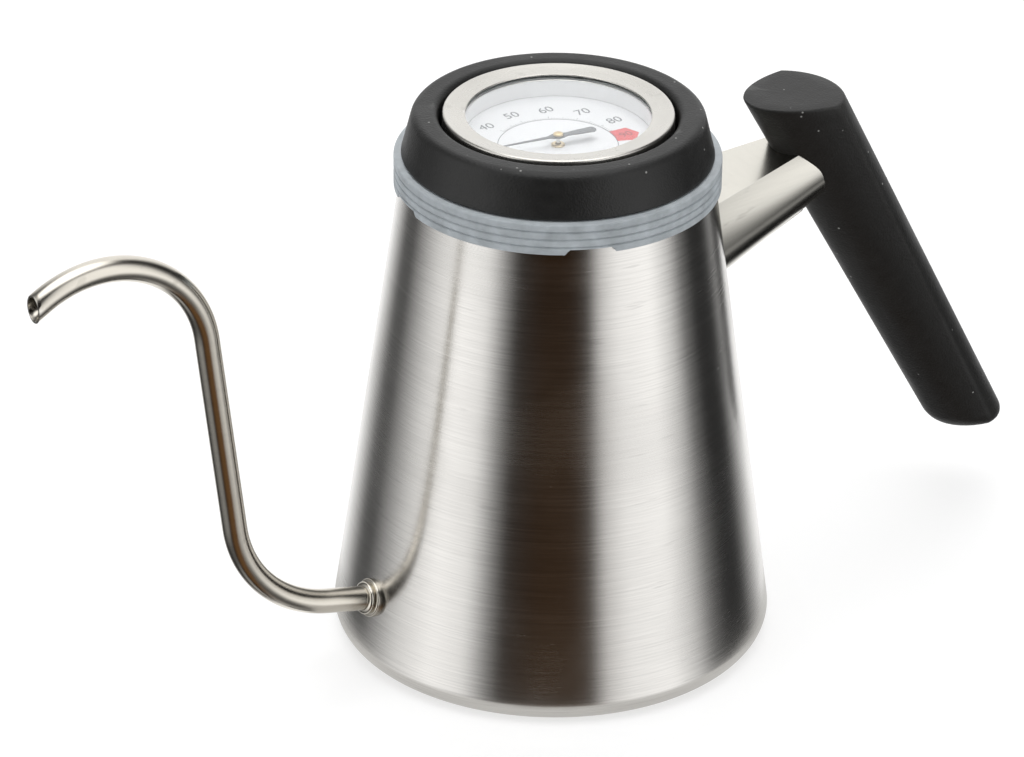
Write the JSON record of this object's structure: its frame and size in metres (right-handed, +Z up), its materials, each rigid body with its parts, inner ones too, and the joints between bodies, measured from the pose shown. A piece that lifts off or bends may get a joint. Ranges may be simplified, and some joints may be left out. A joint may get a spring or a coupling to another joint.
{
  "type": "gooseneck kettle",
  "caption": "Gooseneck pour-over kettle: tapered steel body, thin curved spout, solid slanted grip on a steel bracket, lift-off lid with a dial thermometer.",
  "frame": {"origin": "centre of the flat base, on the surface the kettle stands on", "axes": "+Z up; +X towards the handle, the spout points along -X; the X-Z plane is the plane of symmetry of body, spout and handle"},
  "size_m": [0.2862, 0.1114, 0.1424],
  "materials": {
    "brushed_steel": "stainless sheet brushed round the body",
    "polished_steel": "polished stainless",
    "satin_steel": "fine satin stainless",
    "black_plastic": "fine textured matte phenolic",
    "grey_silicone": "matte blue-grey silicone",
    "seal_rubber": "matte dark rubber",
    "clear_glass": "clear flat glass",
    "white_enamel": "satin white enamel",
    "grey_enamel": "satin grey enamel",
    "brass": "plain brass"
  },
  "bodies": {
    "kettle": {"body_shell": "brushed_steel", "base_disc": "brushed_steel", "spout_tube": "polished_steel", "spout_collar": "polished_steel", "bracket_shell": "satin_steel", "bracket_strip": "satin_steel", "bracket_end_plate": "satin_steel", "grip": "black_plastic", "grip_insert_1": "brass", "grip_insert_2": "brass", "grip_screw_1": "polished_steel", "grip_screw_2": "polished_steel", "grip_washer_1": "polished_steel", "grip_washer_2": "polished_steel"},
    "lid": {"lid_cover": "black_plastic", "lid_gasket": "grey_silicone", "lid_plate": "polished_steel", "lid_screw_1": "polished_steel", "lid_screw_2": "polished_steel", "lid_screw_3": "polished_steel", "thermometer_case": "polished_steel", "bezel": "satin_steel", "dial_glass": "clear_glass", "glass_seal": "seal_rubber", "dial_plate": "white_enamel", "shaft_bush": "brass", "stem_tube": "polished_steel", "bimetal_coil": "brass", "stem_nut": "polished_steel", "nut_seal": "grey_silicone"},
    "needle": {"pointer": "grey_enamel", "pointer_hub": "brass", "pointer_shaft": "grey_enamel"}
  },
  "joints": [
    {"name": "lid_lift", "type": "slide", "parent": "kettle", "child": "lid", "axis": [0, 0, 1], "range_m": [0, 0.115]},
    {"name": "pointer_turn", "type": "hinge", "parent": "lid", "child": "needle", "pos_m": [-0.00294, -0.00453, 0.1376], "axis": [0, 0, -1], "range_deg": [-49, 237]}
  ]
}
